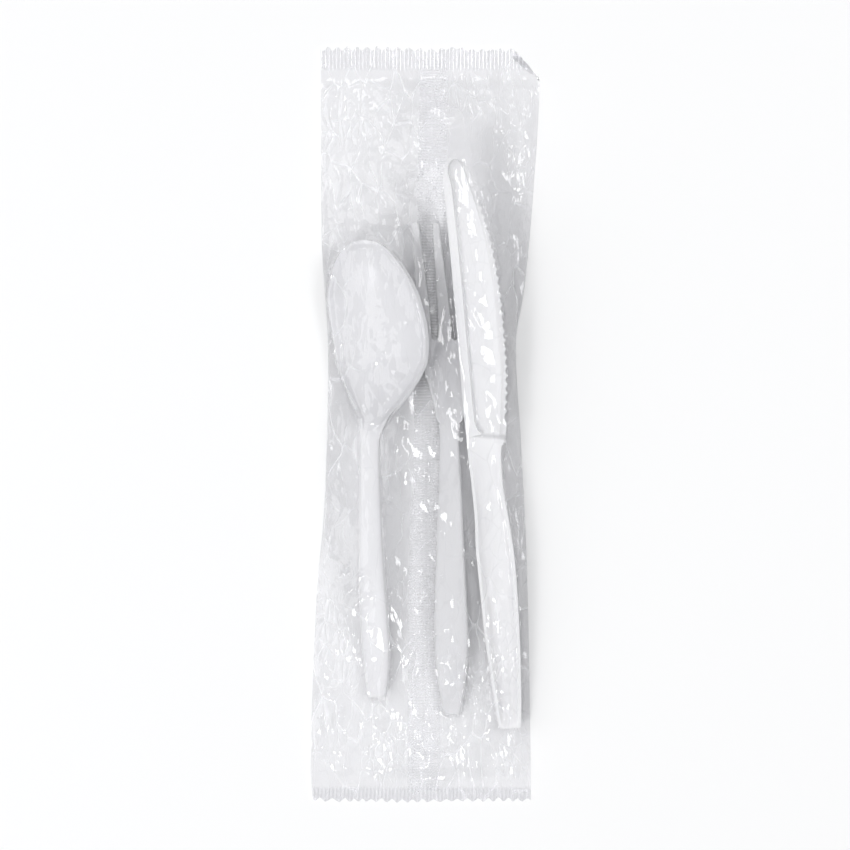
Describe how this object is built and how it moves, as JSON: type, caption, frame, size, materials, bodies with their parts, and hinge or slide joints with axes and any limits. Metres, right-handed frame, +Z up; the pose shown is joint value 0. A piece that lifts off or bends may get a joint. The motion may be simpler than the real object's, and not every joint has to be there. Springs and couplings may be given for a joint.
{
  "type": "wrapped plastic cutlery pack",
  "caption": "Plastic spoon, fork and knife sealed in a clear film sleeve with crimped zig-zag ends and a fin seal down the back.",
  "frame": {"origin": "centre of the bottom of the bounding box: under the middle of the pack, at the surface it lies on", "axes": "+Z up out of the front of the pack, +Y along the pack towards the tips of the cutlery, +X across it from the spoon to the knife"},
  "size_m": [0.07, 0.232, 0.0169],
  "materials": {
    "clear_film": "clear, glossy, finely wrinkled",
    "spoon_plastic": "moulded, softly glossy",
    "fork_plastic": "moulded, softly glossy",
    "knife_plastic": "moulded, softly glossy"
  },
  "bodies": {
    "root": {"film_wrapper": "clear_film", "spoon": "spoon_plastic", "fork": "fork_plastic", "knife": "knife_plastic"}
  },
  "joints": []
}
